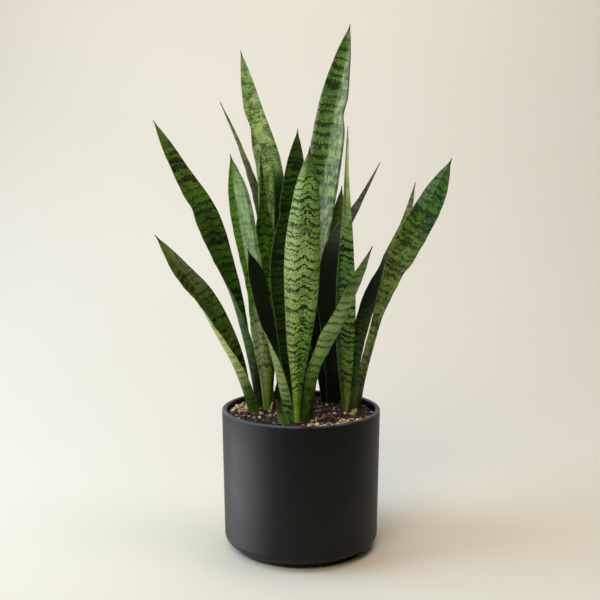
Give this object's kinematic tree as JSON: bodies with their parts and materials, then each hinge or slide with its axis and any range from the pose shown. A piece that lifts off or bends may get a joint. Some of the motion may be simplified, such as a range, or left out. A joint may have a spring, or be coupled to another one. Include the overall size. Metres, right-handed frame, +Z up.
{
  "type": "potted snake plant",
  "caption": "Upright succulent with broad, pointed, cross-banded blades in a plain charcoal cylinder pot topped with soil and gravel.",
  "frame": {"origin": "centre of the pot's flat foot, on the surface that it stands on", "axes": "+Z up along the pot's axis, -Y towards the plant's front, +X to the front's right"},
  "size_m": [0.3768, 0.221, 0.6722],
  "materials": {
    "pot_charcoal": "matte",
    "potting_soil": "matte",
    "pale_gravel": "matte",
    "leaf_pale": "satin",
    "leaf_silver": "satin",
    "leaf_mid": "satin",
    "leaf_olive": "satin",
    "leaf_dark": "satin",
    "dry_bract": "matte"
  },
  "bodies": {
    "root": {"pot": "pot_charcoal", "soil": "potting_soil", "gravel_front": "pale_gravel", "gravel_left": "pale_gravel", "leaf_front": "leaf_pale", "leaf_tallest": "leaf_silver", "leaf_tall_left": "leaf_pale", "leaf_far_left": "leaf_dark", "leaf_low_left": "leaf_dark", "leaf_thin_left": "leaf_olive", "leaf_silver_left": "leaf_silver", "leaf_slim_left": "leaf_mid", "leaf_broad_middle": "leaf_dark", "leaf_short_front": "leaf_dark", "leaf_low_right": "leaf_olive", "leaf_pale_right": "leaf_pale", "leaf_bent_right": "leaf_dark", "leaf_dark_right": "leaf_dark", "leaf_far_right": "leaf_mid", "leaf_behind_right": "leaf_dark", "leaf_back": "leaf_dark", "sprout_front": "leaf_dark", "sprout_left": "leaf_dark", "bract_left": "dry_bract", "bract_right": "dry_bract"}
  },
  "joints": []
}
